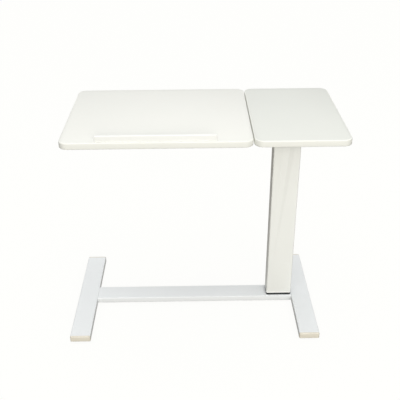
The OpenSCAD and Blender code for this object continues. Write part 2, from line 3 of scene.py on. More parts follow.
import json
import logging
import math
from dataclasses import dataclass
from enum import Enum
from typing import Any, Callable, Iterable

import bmesh
import bpy
from mathutils import Matrix, Vector

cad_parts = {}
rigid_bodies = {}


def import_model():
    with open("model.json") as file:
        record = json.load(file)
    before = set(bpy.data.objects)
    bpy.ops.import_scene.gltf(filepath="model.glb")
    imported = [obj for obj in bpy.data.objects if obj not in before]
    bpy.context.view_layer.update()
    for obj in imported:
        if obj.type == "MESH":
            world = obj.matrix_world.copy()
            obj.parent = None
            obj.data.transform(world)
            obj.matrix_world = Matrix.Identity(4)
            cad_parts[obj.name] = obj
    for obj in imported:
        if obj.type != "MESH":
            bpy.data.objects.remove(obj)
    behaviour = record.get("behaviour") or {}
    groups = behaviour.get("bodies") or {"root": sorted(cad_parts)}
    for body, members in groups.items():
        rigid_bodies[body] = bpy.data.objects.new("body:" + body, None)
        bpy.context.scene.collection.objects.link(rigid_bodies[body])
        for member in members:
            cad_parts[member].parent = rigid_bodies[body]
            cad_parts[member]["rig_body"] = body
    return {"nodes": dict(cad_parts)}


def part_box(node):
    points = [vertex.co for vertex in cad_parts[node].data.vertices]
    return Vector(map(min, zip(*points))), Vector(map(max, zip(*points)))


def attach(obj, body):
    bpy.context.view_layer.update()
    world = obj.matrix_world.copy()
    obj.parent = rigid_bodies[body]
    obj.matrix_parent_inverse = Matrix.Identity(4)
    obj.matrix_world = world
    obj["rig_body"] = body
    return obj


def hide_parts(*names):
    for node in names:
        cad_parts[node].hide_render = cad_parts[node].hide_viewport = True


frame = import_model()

LOG = logging.getLogger("overbed_table")
MM = 0.001
X_AXIS, Y_AXIS, Z_AXIS = Vector((1, 0, 0)), Vector((0, 1, 0)), Vector((0, 0, 1))

Box = tuple[Vector, Vector]
Test = Callable[[Vector, Vector], bool]
Tree, Node, Socket = bpy.types.NodeTree, bpy.types.Node, bpy.types.NodeSocket
Settings, Links = dict[str | int, Any], dict[str | int, Socket]

# an edge runs along an axis above ALONG and across it below ACROSS
ALONG, ACROSS = 0.9, 0.1
# a face looks along an axis above FACING; FLAT leaves out the first face of a fine bevel too
FACING, FLAT = 0.99, 0.999
# a place this near to a level counts as on it
NEAR = 0.1 * MM
# a noise pattern's values lie mostly between these two
NOISE_LOW, NOISE_HIGH = 0.3, 0.7
# on a piece that flows all over, edges flatter than this are smoothed, in degrees
FLOWING = 60.0

# sockets of the colour mix node, which has several of the same name
MIX_FACTOR, MIX_A, MIX_B, MIX_RESULT = 0, 6, 7, 2


# ---- finishes ----------------------------------------------------------------------------------


def linear(code: str) -> tuple[float, float, float, float]:
    """Turn an sRGB hex colour into linear RGBA.

    Args:
        code: The colour, such as "#e5e9ea".

    Returns:
        Red, green, blue and an alpha of 1.
    """
    channels = [int(code[i : i + 2], 16) / 255 for i in (1, 3, 5)]
    red, green, blue = (c / 12.92 if c <= 0.04045 else ((c + 0.055) / 1.055) ** 2.4 for c in channels)
    return red, green, blue, 1.0


def every(size_mm: float) -> float:
    """Return the texture scale at which a pattern repeats about every size_mm."""
    return 1.0 / (size_mm * MM)


def add_node(tree: Tree, kind: str, settings: Settings | None = None, links: Links | None = None) -> Node:
    """Add a node with its settings and its incoming links.

    Args:
        tree: The node tree that it goes into.
        kind: The node's type name.
        settings: Values by input name or number, or by the name of a property of the node.
        links: Output sockets by the name or number of the input that they feed.

    Returns:
        The new node.
    """
    node = tree.nodes.new(kind)
    for key, value in (settings or {}).items():
        if isinstance(key, int) or key in node.inputs:
            node.inputs[key].default_value = value
        else:
            setattr(node, key, value)
    for key, socket in (links or {}).items():
        tree.links.new(socket, node.inputs[key])
    return node


@dataclass(frozen=True)
class Finish:
    """What every finish has: a material name, the record's slot, two tones and its gloss."""

    name: str
    slot: str
    light: str
    dark: str
    roughness: float

    metallic = 0.0
    ior = 1.5
    wander = 0.05

    def material(self) -> bpy.types.Material:
        """Return this finish's material, made the first time that it is asked for."""
        made = bpy.data.materials.get(self.name)
        if made:
            return made
        made = bpy.data.materials.new(self.name)
        made.use_nodes = True
        tree = made.node_tree
        tree.nodes.clear()
        shader = add_node(
            tree,
            "ShaderNodeBsdfPrincipled",
            {"Roughness": self.roughness, "Metallic": self.metallic, "IOR": self.ior},
        )
        add_node(tree, "ShaderNodeOutputMaterial", links={"Surface": shader.outputs["BSDF"]})
        place = add_node(tree, "ShaderNodeTexCoord").outputs["Object"]
        self.draw(tree, place, shader)
        made.diffuse_color = linear(self.light)
        return made

    def draw(self, tree: Tree, place: Socket, shader: Node) -> None:
        """Draw the finish's pattern into the shader's sockets."""
        raise NotImplementedError

    def tone(self, tree: Tree, shader: Node, share: Socket) -> None:
        """Mix the dark and the light tone by a pattern and feed the base colour."""
        mix = add_node(
            tree,
            "ShaderNodeMix",
            {"data_type": "RGBA", MIX_A: linear(self.dark), MIX_B: linear(self.light)},
            {MIX_FACTOR: share},
        )
        tree.links.new(mix.outputs[MIX_RESULT], shader.inputs["Base Color"])

    def relief(self, tree: Tree, shader: Node, height: Socket, depth_mm: float) -> None:
        """Raise the surface by a pattern.

        Args:
            tree: The material's node tree.
            shader: The shader whose normal it feeds.
            height: The pattern, from 0 to 1.
            depth_mm: Height of the pattern in millimetres.
        """
        bump = add_node(
            tree, "ShaderNodeBump", {"Strength": 1.0, "Distance": depth_mm * MM}, {"Height": height}
        )
        tree.links.new(bump.outputs["Normal"], shader.inputs["Normal"])

    def gloss(self, tree: Tree, shader: Node, pattern: Socket) -> None:
        """Let the roughness wander by a pattern, to each side of the finish's own value."""
        span = add_node(
            tree,
            "ShaderNodeMapRange",
            {
                "From Min": NOISE_LOW,
                "From Max": NOISE_HIGH,
                "To Min": self.roughness - self.wander,
                "To Max": self.roughness + self.wander,
            },
            {"Value": pattern},
        )
        tree.links.new(span.outputs["Result"], shader.inputs["Roughness"])


@dataclass(frozen=True)
class PowderCoat(Finish):
    """Polyester powder coat, sprayed dry on steel and baked.

    The melt never flows quite level, so the satin surface has a soft orange peel of about
    2 mm, and thick and thin places of some 70 mm that are a touch lighter and darker.
    """

    peel_mm: float = 2.2
    peel_depth_mm: float = 0.012
    cloud_mm: float = 70.0
    wander = 0.04

    def draw(self, tree: Tree, place: Socket, shader: Node) -> None:
        """Draw the clouding of the coat's thickness and its orange peel."""
        cloud = add_node(
            tree, "ShaderNodeTexNoise", {"Scale": every(self.cloud_mm), "Detail": 3.0}, {"Vector": place}
        ).outputs["Fac"]
        peel = add_node(
            tree, "ShaderNodeTexNoise", {"Scale": every(self.peel_mm), "Detail": 1.5}, {"Vector": place}
        ).outputs["Fac"]
        self.tone(tree, shader, cloud)
        self.gloss(tree, shader, cloud)
        self.relief(tree, shader, peel, self.peel_depth_mm)


@dataclass(frozen=True)
class Melamine(Finish):
    """Melamine-faced board: printed white paper and resin, hot-pressed against a satin plate.

    The plate leaves a pearl texture. Its real grain is about 0.3 mm, and it is drawn at 1.1 mm
    so that it still breaks up the gloss. The white paper shows a very faint clouding.
    """

    pearl_mm: float = 1.1
    pearl_depth_mm: float = 0.01
    cloud_mm: float = 120.0
    wander = 0.03

    def draw(self, tree: Tree, place: Socket, shader: Node) -> None:
        """Draw the paper's clouding and the pressed pearl texture."""
        cloud = add_node(
            tree,
            "ShaderNodeTexNoise",
            {"Scale": every(self.cloud_mm), "Detail": 4.0, "Roughness": 0.6},
            {"Vector": place},
        ).outputs["Fac"]
        pearl = add_node(
            tree,
            "ShaderNodeTexVoronoi",
            {"feature": "SMOOTH_F1", "Scale": every(self.pearl_mm)},
            {"Vector": place},
        ).outputs["Distance"]
        self.tone(tree, shader, cloud)
        self.gloss(tree, shader, cloud)
        self.relief(tree, shader, pearl, self.pearl_depth_mm)


@dataclass(frozen=True)
class DrawnPlastic(Finish):
    """ABS strip, extruded and satin-embossed.

    The die draws fine streaks along the strip, so across its height the gloss and the tone
    change every half millimetre or so, and along it they hardly change at all.
    """

    streak_mm: float = 0.7
    run_mm: float = 90.0
    cloud_mm: float = 40.0
    depth_mm: float = 0.008

    def draw(self, tree: Tree, place: Socket, shader: Node) -> None:
        """Draw the streaks of the die along the strip."""
        along, across = every(self.run_mm), every(self.streak_mm)
        stretched = add_node(
            tree,
            "ShaderNodeMapping",
            {"vector_type": "POINT", "Scale": (along, along, across)},
            {"Vector": place},
        ).outputs["Vector"]
        streak = add_node(
            tree,
            "ShaderNodeTexNoise",
            {"Scale": 1.0, "Detail": 2.0},
            {"Vector": stretched},
        ).outputs["Fac"]
        cloud = add_node(
            tree, "ShaderNodeTexNoise", {"Scale": every(self.cloud_mm), "Detail": 2.0}, {"Vector": place}
        ).outputs["Fac"]
        self.tone(tree, shader, cloud)
        self.gloss(tree, shader, streak)
        self.relief(tree, shader, streak, self.depth_mm)


@dataclass(frozen=True)
class MouldedPlastic(Finish):
    """Injection-moulded plastic from a spark-eroded mould.

    The mould's fine craters give an even, dull grain of about 0.6 mm, and the melt's flow
    leaves slightly lighter and darker places of a centimetre or two.
    """

    grain_mm: float = 0.6
    grain_depth_mm: float = 0.03
    flow_mm: float = 14.0

    def draw(self, tree: Tree, place: Socket, shader: Node) -> None:
        """Draw the flow marks and the eroded grain."""
        flow = add_node(
            tree,
            "ShaderNodeTexNoise",
            {"Scale": every(self.flow_mm), "Detail": 2.0, "Distortion": 0.6},
            {"Vector": place},
        ).outputs["Fac"]
        grain = add_node(
            tree, "ShaderNodeTexNoise", {"Scale": every(self.grain_mm), "Detail": 3.0}, {"Vector": place}
        ).outputs["Fac"]
        self.tone(tree, shader, flow)
        self.gloss(tree, shader, grain)
        self.relief(tree, shader, grain, self.grain_depth_mm)


@dataclass(frozen=True)
class Rubber(Finish):
    """Black moulded rubber: matt, with a pale bloom of dust in its pores of about 1 mm."""

    pore_mm: float = 1.2
    pore_depth_mm: float = 0.05
    bloom_mm: float = 9.0
    wander = 0.06

    def draw(self, tree: Tree, place: Socket, shader: Node) -> None:
        """Draw the bloom and the pores."""
        bloom = add_node(
            tree,
            "ShaderNodeTexNoise",
            {"Scale": every(self.bloom_mm), "Detail": 5.0, "Roughness": 0.7},
            {"Vector": place},
        ).outputs["Fac"]
        pore = add_node(
            tree, "ShaderNodeTexNoise", {"Scale": every(self.pore_mm), "Detail": 2.0}, {"Vector": place}
        ).outputs["Fac"]
        self.tone(tree, shader, bloom)
        self.gloss(tree, shader, bloom)
        self.relief(tree, shader, pore, self.pore_depth_mm)


@dataclass(frozen=True)
class ZincPlate(Finish):
    """Pressed or sawn steel, electroplated with zinc and clear-passivated.

    The plating follows the rolled sheet's grain, so it shines in small cloudy patches of a few
    millimetres, with fine lines where the sheet was rolled.
    """

    patch_mm: float = 4.0
    line_mm: float = 0.8
    line_run_mm: float = 30.0
    line_depth_mm: float = 0.01
    metallic = 1.0
    wander = 0.08

    def draw(self, tree: Tree, place: Socket, shader: Node) -> None:
        """Draw the patches of the plating and the rolled lines."""
        patch = add_node(
            tree,
            "ShaderNodeTexNoise",
            {"Scale": every(self.patch_mm), "Detail": 4.0, "Roughness": 0.65},
            {"Vector": place},
        ).outputs["Fac"]
        run, line = every(self.line_run_mm), every(self.line_mm)
        rolled = add_node(
            tree, "ShaderNodeMapping", {"Scale": (run, line, line)}, {"Vector": place}
        ).outputs["Vector"]
        lines = add_node(
            tree, "ShaderNodeTexNoise", {"Scale": 1.0, "Detail": 2.0}, {"Vector": rolled}
        ).outputs["Fac"]
        self.tone(tree, shader, patch)
        self.gloss(tree, shader, patch)
        self.relief(tree, shader, lines, self.line_depth_mm)


@dataclass(frozen=True)
class MachinedMetal(Finish):
    """Turned, cold-headed or ground metal, such as pins, screws, a piston rod or a brass insert.

    The tool leaves rings that cross the axis of the work, so the pattern is fine along
    ring_axis and long across it, and the highlight breaks into thin bands.
    """

    ring_mm: float = 0.5
    ring_axis: int = 2
    depth_mm: float = 0.01
    ring_run_mm: float = 25.0
    stain_mm: float = 6.0
    wander_share: float = 0.3
    metallic = 1.0

    @property
    def wander(self) -> float:
        """Return how far the roughness wanders: a share of its own value, as polish differs."""
        return self.wander_share * self.roughness

    def draw(self, tree: Tree, place: Socket, shader: Node) -> None:
        """Draw the tool's rings and a faint stain."""
        scale = [every(self.ring_run_mm)] * 3
        scale[self.ring_axis] = every(self.ring_mm)
        turned = add_node(
            tree, "ShaderNodeMapping", {"Scale": tuple(scale)}, {"Vector": place}
        ).outputs["Vector"]
        ring = add_node(
            tree, "ShaderNodeTexNoise", {"Scale": 1.0, "Detail": 2.0}, {"Vector": turned}
        ).outputs["Fac"]
        stain = add_node(
            tree, "ShaderNodeTexNoise", {"Scale": every(self.stain_mm), "Detail": 3.0}, {"Vector": place}
        ).outputs["Fac"]
        self.tone(tree, shader, stain)
        self.gloss(tree, shader, ring)
        self.relief(tree, shader, ring, self.depth_mm)


@dataclass(frozen=True)
class Nylon(Finish):
    """Moulded natural nylon: waxy and slightly see-through, so light bleeds a millimetre into it."""

    bleed_mm: float = 1.0
    bleed_share: float = 0.15
    bleed_tint: tuple[float, float, float] = (1.0, 1.0, 0.9)
    cloud_mm: float = 11.0
    shrink_mm: float = 1.6
    shrink_depth_mm: float = 0.012

    def draw(self, tree: Tree, place: Socket, shader: Node) -> None:
        """Draw the milky clouding and the fine shrinkage of the surface."""
        shader.inputs["Subsurface Weight"].default_value = self.bleed_share
        shader.inputs["Subsurface Radius"].default_value = self.bleed_tint
        shader.inputs["Subsurface Scale"].default_value = self.bleed_mm * MM
        cloud = add_node(
            tree, "ShaderNodeTexNoise", {"Scale": every(self.cloud_mm), "Detail": 3.0}, {"Vector": place}
        ).outputs["Fac"]
        shrink = add_node(
            tree, "ShaderNodeTexNoise", {"Scale": every(self.shrink_mm), "Detail": 1.0}, {"Vector": place}
        ).outputs["Fac"]
        self.tone(tree, shader, cloud)
        self.gloss(tree, shader, cloud)
        self.relief(tree, shader, shrink, self.shrink_depth_mm)


FRAME_COAT = PowderCoat("powder_coat_cool_white", "frame_paint", "#ebeeef", "#e7eaeb", 0.45)
COLUMN_COAT = PowderCoat("powder_coat_warm_white", "column_paint", "#f4f6f2", "#f1f3ef", 0.5)
BLACK_ENAMEL = PowderCoat("stoved_black_enamel", "black_paint", "#232527", "#1a1b1d", 0.28, peel_mm=3.5)
MAIN_MELAMINE = Melamine("melamine_board_white", "main_laminate", "#eaeae5", "#e7e8e2", 0.5)
# the small top is the same white melamine as the large top; its darker tones are painted shade for the weaker
# light that reaches it, further from the lamps
SHADED_SIDE_MELAMINE = Melamine("melamine_board_white_side", "side_laminate", "#dfe1db", "#dcded8", 0.5)
EDGE_ABS = DrawnPlastic("abs_edge_strip", "edge_plastic", "#eeefe9", "#ebece5", 0.36)
STOP_ABS = DrawnPlastic("abs_stop_strip", "stop_plastic", "#f4f5f2", "#f1f2ee", 0.36, streak_mm=1.2)
CREAM_PP = MouldedPlastic("moulded_cream_polypropylene", "cream_plastic", "#e0dccd", "#dbd4c6", 0.5)
DARK_NYLON = MouldedPlastic("moulded_dark_nylon", "dark_plastic", "#3b3d40", "#2f3133", 0.5)
BLACK_RUBBER = Rubber("moulded_black_rubber", "black_rubber", "#2c2f32", "#1c1e20", 0.78)
ZINC = ZincPlate("zinc_plated_steel", "zinc_steel", "#b9bcbe", "#a4a8aa", 0.36)
BRIGHT_Z = MachinedMetal("bright_zinc_fastener", "bright_steel", "#c9cbcc", "#b5b8ba", 0.27)
BRIGHT_Y = MachinedMetal("bright_steel_cross_pin", "bright_steel", "#c9cbcc", "#b5b8ba", 0.25, ring_axis=1)
BRIGHT_X = MachinedMetal("bright_steel_clamp_bolt", "bright_steel", "#c9cbcc", "#b5b8ba", 0.25, ring_axis=0)
CHROME = MachinedMetal("hard_chrome_rod", "chrome_rod", "#d9dcde", "#d0d3d5", 0.1, depth_mm=0.002)
BRASS = MachinedMetal("turned_brass", "brass", "#cdb878", "#b7a062", 0.24, ring_axis=0)
NATURAL_NYLON = Nylon("moulded_natural_nylon", "white_nylon", "#fcfcfa", "#f8f8f5", 0.42)


# ---- modelling ---------------------------------------------------------------------------------


class Pick(Enum):
    """What a selection in edit mode is made of."""

    FACES = "FACE"
    EDGES = "EDGE"


class Shape:
    """A mesh in the making: a primitive that edit-mode operators and modifiers turn into a piece.

    Every step returns the shape itself, so that steps can be written one after another.
    """

    merge_mm = 0.002
    flat_deg = 0.6

    def __init__(self, obj: bpy.types.Object, name: str) -> None:
        """Take over a new object, name it and put its place into its mesh."""
        obj.name = obj.data.name = name
        self.obj = obj
        bpy.ops.object.transform_apply(location=True, rotation=True, scale=True)

    @staticmethod
    def clear_selection() -> None:
        """Leave edit mode and deselect everything, the frame's own nodes included."""
        if bpy.context.object and bpy.context.object.mode != "OBJECT":
            bpy.ops.object.mode_set(mode="OBJECT")
        bpy.ops.object.select_all(action="DESELECT")

    @classmethod
    def block(cls, name: str, box: Box) -> "Shape":
        """Start from a cube that fills a box.

        Args:
            name: The piece's name.
            box: The box's lowest and highest corner, in metres.

        Returns:
            The new shape.
        """
        cls.clear_selection()
        low, high = box
        bpy.ops.mesh.primitive_cube_add(size=1.0, location=(low + high) / 2, scale=high - low)
        return cls(bpy.context.object, name)

    @classmethod
    def rod(cls, name: str, radius: float, start: Vector, end: Vector, sides: int = 48) -> "Shape":
        """Start from a cylinder between two points.

        Args:
            name: The piece's name.
            radius: The cylinder's radius, in metres.
            start: The middle of one end.
            end: The middle of the other end.
            sides: How many sides it has.

        Returns:
            The new shape.
        """
        cls.clear_selection()
        run = end - start
        bpy.ops.mesh.primitive_cylinder_add(
            vertices=sides,
            radius=radius,
            depth=run.length,
            location=(start + end) / 2,
            rotation=run.to_track_quat("Z", "Y").to_euler(),
        )
        return cls(bpy.context.object, name)

    @classmethod
    def of_node(cls, name: str, node: str) -> "Shape":
        """Start from a copy of a frame node, with its triangles merged into whole faces.

        Args:
            name: The piece's name.
            node: The frame node that it starts from.

        Returns:
            The new shape.
        """
        cls.clear_selection()
        source = frame["nodes"][node]
        obj = bpy.data.objects.new(name, source.data.copy())
        bpy.context.scene.collection.objects.link(obj)
        obj.select_set(True)
        bpy.context.view_layer.objects.active = obj
        shape = cls(obj, name)
        bpy.ops.mesh.customdata_custom_splitnormals_clear()
        return shape.everything().merge().flatten_faces()

    def edit(self) -> "Shape":
        """Go into edit mode on this shape alone."""
        if self.obj.mode != "EDIT":
            self.clear_selection()
            self.obj.select_set(True)
            bpy.context.view_layer.objects.active = self.obj
            bpy.ops.object.mode_set(mode="EDIT")
        return self

    def rest(self) -> "Shape":
        """Go back to object mode with this shape selected alone."""
        self.clear_selection()
        self.obj.select_set(True)
        bpy.context.view_layer.objects.active = self.obj
        return self

    def everything(self) -> "Shape":
        """Select the whole mesh."""
        self.edit()
        bpy.ops.mesh.select_mode(type="FACE")
        bpy.ops.mesh.select_all(action="SELECT")
        return self

    def pick(self, what: Pick, test: Test) -> "Shape":
        """Select faces or edges by their place and direction.

        Args:
            what: Faces or edges.
            test: Is given the middle of each, and a face's normal or an edge's direction.

        Returns:
            This shape.
        """
        self.edit()
        bpy.ops.mesh.select_mode(type=what.value)
        bpy.ops.mesh.select_all(action="DESELECT")
        mesh = bmesh.from_edit_mesh(self.obj.data)
        if what is Pick.FACES:
            for face in mesh.faces:
                face.select_set(test(face.calc_center_median(), face.normal))
        else:
            for edge in mesh.edges:
                start, end = (v.co for v in edge.verts)
                edge.select_set(test((start + end) / 2, (end - start).normalized()))
        bmesh.update_edit_mesh(self.obj.data)
        return self

    def rims(self) -> "Shape":
        """Select the open edges of the mesh."""
        self.edit()
        bpy.ops.mesh.select_mode(type="EDGE")
        bpy.ops.mesh.select_all(action="DESELECT")
        bpy.ops.mesh.select_non_manifold(
            use_wire=False, use_boundary=True, use_multi_face=False, use_non_contiguous=False, use_verts=False
        )
        return self

    def round_off(self, radius: float, steps: int = 4) -> "Shape":
        """Bevel the selected edges to a radius, in metres."""
        bpy.ops.mesh.bevel(offset_type="OFFSET", offset=radius, segments=steps, profile=0.5, affect="EDGES")
        return self

    def inset(self, width: float, depth: float = 0.0) -> "Shape":
        """Inset the selected faces by a width, and push them in or out by a depth."""
        bpy.ops.mesh.inset(thickness=width, depth=depth, use_boundary=True, use_even_offset=True)
        return self

    def pull(self, way: Vector) -> "Shape":
        """Extrude the selected faces along a vector."""
        bpy.ops.mesh.extrude_region_move(TRANSFORM_OT_translate={"value": way})
        return self

    def squeeze(self, factors: tuple[float, float, float], centre: Vector) -> "Shape":
        """Scale the selection about a point."""
        bpy.ops.transform.resize(value=factors, center_override=centre)
        return self

    def slice_at(self, point: Vector, normal: Vector) -> "Shape":
        """Cut a loop of edges through the whole mesh along a plane."""
        self.everything()
        bpy.ops.mesh.bisect(plane_co=point, plane_no=normal)
        return self

    def cut_away(self) -> "Shape":
        """Delete the selected faces."""
        bpy.ops.mesh.delete(type="FACE")
        return self

    def merge(self) -> "Shape":
        """Merge the selected points that lie together."""
        bpy.ops.mesh.remove_doubles(threshold=self.merge_mm * MM)
        return self

    def flatten_faces(self) -> "Shape":
        """Dissolve the edges inside flat areas."""
        bpy.ops.mesh.dissolve_limited(angle_limit=math.radians(self.flat_deg))
        return self

    def hollow(self, axis: int, wall: float) -> "Shape":
        """Open the shape right through along an axis, leaving a wall all round.

        Args:
            axis: 0, 1 or 2 for X, Y or Z.
            wall: How thick the wall is at the ends, in metres.

        Returns:
            This shape.
        """
        self.pick(Pick.FACES, lambda _, normal: abs(normal[axis]) > FLAT)
        self.inset(wall).cut_away().rims()
        bpy.ops.mesh.bridge_edge_loops()
        return self

    def modify(self, kind: str, **settings: Any) -> "Shape":
        """Add a modifier with its settings and apply it."""
        self.rest()
        bpy.ops.object.modifier_add(type=kind)
        modifier = self.obj.modifiers[-1]
        for key, value in settings.items():
            setattr(modifier, key, value)
        bpy.ops.object.modifier_apply(modifier=modifier.name)
        return self

    def soften(self, width: float, steps: int = 2, angle_deg: float = 35.0) -> "Shape":
        """Break every sharp edge of the shape by a small bevel."""
        return self.modify(
            "BEVEL",
            width=width,
            segments=steps,
            limit_method="ANGLE",
            angle_limit=math.radians(angle_deg),
            use_clamp_overlap=True,
            miter_outer="MITER_ARC",
        )

    def carve(self, cutter: "Shape") -> "Shape":
        """Take another shape's volume out of this one, and remove that shape."""
        cutter.rest()
        self.modify("BOOLEAN", operation="DIFFERENCE", solver="EXACT", object=cutter.obj)
        bpy.data.objects.remove(cutter.obj)
        return self

    def copies(self, places: Iterable[Matrix]) -> list["Shape"]:
        """Copy the shape to several places, each copy with its own mesh, and remove the first one.

        Args:
            places: How each copy is turned and moved from the first one.

        Returns:
            The copies, named with a running number.
        """
        self.rest()
        made = []
        for number, place in enumerate(places, 1):
            twin = self.obj.copy()
            twin.data = self.obj.data.copy()
            bpy.context.scene.collection.objects.link(twin)
            twin.data.transform(place)
            self.clear_selection()
            twin.select_set(True)
            bpy.context.view_layer.objects.active = twin
            made.append(Shape(twin, f"{self.obj.name}_{number}"))
        bpy.data.objects.remove(self.obj)
        return made

    def done(self, finish: Finish, body: str, *stands_for: str, smooth_deg: float = 32.0) -> bpy.types.Object:
        """Finish the piece: smooth it, give it its material and seat it on its body.

        Args:
            finish: The piece's finish.
            body: The body that it moves with.
            *stands_for: The frame nodes that it replaces.
            smooth_deg: Edges flatter than this are smoothed.

        Returns:
            The finished object.
        """
        self.rest()
        bpy.ops.object.shade_smooth_by_angle(angle=math.radians(smooth_deg))
        self.obj.data.materials.clear()
        self.obj.data.materials.append(finish.material())
        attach(self.obj, body)
        if stands_for:
            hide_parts(*stands_for)
        LOG.info("%s on %s: %d faces, %s", self.obj.name, body, len(self.obj.data.polygons), finish.name)
        return self.obj


def body_of(node: str) -> str:
    """Return the body that a frame node rides on."""
    return frame["nodes"][node]["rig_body"]


def soften_node(node: str, finish: Finish, width_mm: float, steps: int = 2) -> bpy.types.Object:
    """Replace a frame node by a copy with broken edges.

    Args:
        node: The frame node.
        finish: The piece's finish.
        width_mm: Width of the bevel on its sharp edges.
        steps: How many faces each bevel has.

    Returns:
        The finished object.
    """
    shape = Shape.of_node(f"{node}_piece", node).soften(width_mm * MM, steps)
    return shape.done(finish, body_of(node), node)


def grid(node: str, inset: float, columns: int, rows: int) -> list[Vector]:
    """Spread places evenly over a node's box.

    Args:
        node: The frame node, whose outermost copies touch its box.
        inset: Distance from the box's sides to the outermost places, in metres.
        columns: How many places along X.
        rows: How many places along Y.

    Returns:
        The places, at the box's lowest height.
    """
    low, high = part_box(node)

    def spread(start: float, end: float, count: int) -> list[float]:
        """Return count values from start to end, or their middle for a single one."""
        if count == 1:
            return [(start + end) / 2]
        return [start + (end - start) * i / (count - 1) for i in range(count)]

    across = spread(low.x + inset, high.x - inset, columns)
    deep = spread(low.y + inset, high.y - inset, rows)
    return [Vector((x, y, low.z)) for x in across for y in deep]


def level(direction: Vector) -> bool:
    """Tell whether an edge runs level."""
    return abs(direction.z) < ACROSS


# ---- fasteners ---------------------------------------------------------------------------------


class Drive(Enum):
    """The recess in a screw's head."""

    CROSS = "cross"
    HEXAGON = "hexagon"


@dataclass
class Screw:
    """A screw that points up, with its head below: a rounded head, a recess and a ringed thread.

    Sizes are in millimetres. plain, flank, crest and flat_tip are shares of the pitch, root and
    the two end widths are shares of the shaft, dome and recess_deep are shares of the head's
    height, and the recess's widths are shares of the head's width.
    """

    name: str
    shaft_d: float
    length: float
    head_d: float
    head_t: float
    pitch: float
    drive: Drive
    pointed: bool = True
    dome: float = 0.55
    plain: float = 1.5
    flank: float = 0.35
    crest: float = 0.3
    root: float = 0.84
    flat_tip: float = 0.4
    point_width: float = 0.12
    flat_width: float = 0.8
    recess_deep: float = 0.62
    cross_long: float = 0.58
    cross_wide: float = 0.13
    hexagon_r: float = 0.24

    def build(self) -> Shape:
        """Model the screw at the origin, with its head's lower face at z = 0."""
        head_top = self.head_t * MM
        head_r, shaft_r = self.head_d / 2 * MM, self.shaft_d / 2 * MM
        shape = Shape.rod(self.name, head_r, Vector((0, 0, 0)), Vector((0, 0, head_top)), sides=32)
        shape.pick(Pick.EDGES, lambda middle, way: middle.z < NEAR and level(way))
        shape.round_off(self.dome * head_top, steps=4)
        shape.pick(Pick.FACES, lambda middle, normal: normal.z > FACING)
        shape.inset(head_r - shaft_r)
        self.thread(shape, Vector((0, 0, head_top)))
        return self.recess(shape)

    def thread(self, shape: Shape, foot: Vector) -> None:
        """Draw the shaft out of the head, with a ridge at every turn and a point or a flat end."""
        plain = self.plain * self.pitch
        tip = self.shaft_d if self.pointed else self.flat_tip * self.pitch
        turns = max(1, int((self.length - plain - tip) / self.pitch))
        step = (self.length - plain - tip) / turns * MM
        shape.pull(plain * MM * Z_AXIS)
        for _ in range(turns):
            shape.pull(self.flank * step * Z_AXIS).squeeze((self.root, self.root, 1), foot)
            shape.pull(self.crest * step * Z_AXIS)
            shape.pull(self.flank * step * Z_AXIS).squeeze((1 / self.root, 1 / self.root, 1), foot)
        narrow = self.point_width if self.pointed else self.flat_width
        shape.pull(tip * MM * Z_AXIS).squeeze((narrow, narrow, 1), foot)

    def recess(self, shape: Shape) -> Shape:
        """Cut the driver's recess into the head."""
        deep = self.recess_deep * self.head_t * MM
        if self.drive is Drive.HEXAGON:
            radius = self.hexagon_r * self.head_d * MM
            return shape.carve(Shape.rod("hexagon_cutter", radius, -deep * Z_AXIS, deep * Z_AXIS, sides=6))
        for wide, narrow in ((self.cross_long, self.cross_wide), (self.cross_wide, self.cross_long)):
            half = Vector((wide * self.head_d / 2, narrow * self.head_d / 2, 0)) * MM
            corner = half + deep * Z_AXIS
            shape.carve(Shape.block("slot_cutter", (-corner, corner)))
        return shape

    def place(self, node: str, places: list[Vector], finish: Finish, turns_deg: float = 37.0) -> None:
        """Copy the screw to its places, each turned a little further, in place of a frame node."""
        turned = [
            Matrix.Translation(place) @ Matrix.Rotation(math.radians(turns_deg * i), 4, "Z")
            for i, place in enumerate(places)
        ]
        for copy in self.build().copies(turned):
            copy.done(finish, body_of(node), node)

    def spread(self, node: str, columns: int, rows: int, finish: Finish) -> None:
        """Place the screw in even columns and rows over the box of its frame node."""
        self.place(node, grid(node, self.head_d / 2 * MM, columns, rows), finish)


def wood_screw(name: str, length: float) -> Screw:
    """Return a 4 mm wood screw with a cross recess, of a length in millimetres."""
    return Screw(name, shaft_d=4, length=length, head_d=8, head_t=2.5, pitch=1.8, drive=Drive.CROSS)


@dataclass
class WeldBead:
    """A short weld along an inner corner, rippled where the torch paused.

    Sizes are in millimetres. dip, end_inset and end_rise are shares of the bead's radius.
    """

    radius: float = 2.5
    ripple: float = 1.5
    dip: float = 0.84
    end_inset: float = 0.45
    end_rise: float = 0.35

    def run(self, name: str, start: Vector, end: Vector, finish: Finish, body: str) -> None:
        """Lay a bead from start to end.

        Args:
            name: The piece's name.
            start: One end of its middle line.
            end: The other end.
            finish: The finish over the weld.
            body: The body that it moves with.
        """
        way = (end - start).normalized()
        shape = Shape.rod(name, self.radius * MM, start, end, sides=14)
        count = max(2, round((end - start).length / (self.ripple * MM)))
        for i in range(1, count):
            point = start.lerp(end, i / count)
            shape.slice_at(point, way)
            if i % 2:
                shape.pick(
                    Pick.EDGES,
                    lambda middle, edge: (
                        abs((middle - point).dot(way)) < NEAR and abs(edge.dot(way)) < ACROSS
                    ),
                )
                shape.squeeze((self.dip,) * 3, point)
        shape.pick(Pick.FACES, lambda middle, normal: abs(normal.dot(way)) > FACING)
        shape.inset(self.end_inset * self.radius * MM, self.end_rise * self.radius * MM)
        shape.modify("SUBSURF", levels=1, render_levels=1)
        shape.done(finish, body, smooth_deg=FLOWING)


# ---- table tops --------------------------------------------------------------------------------


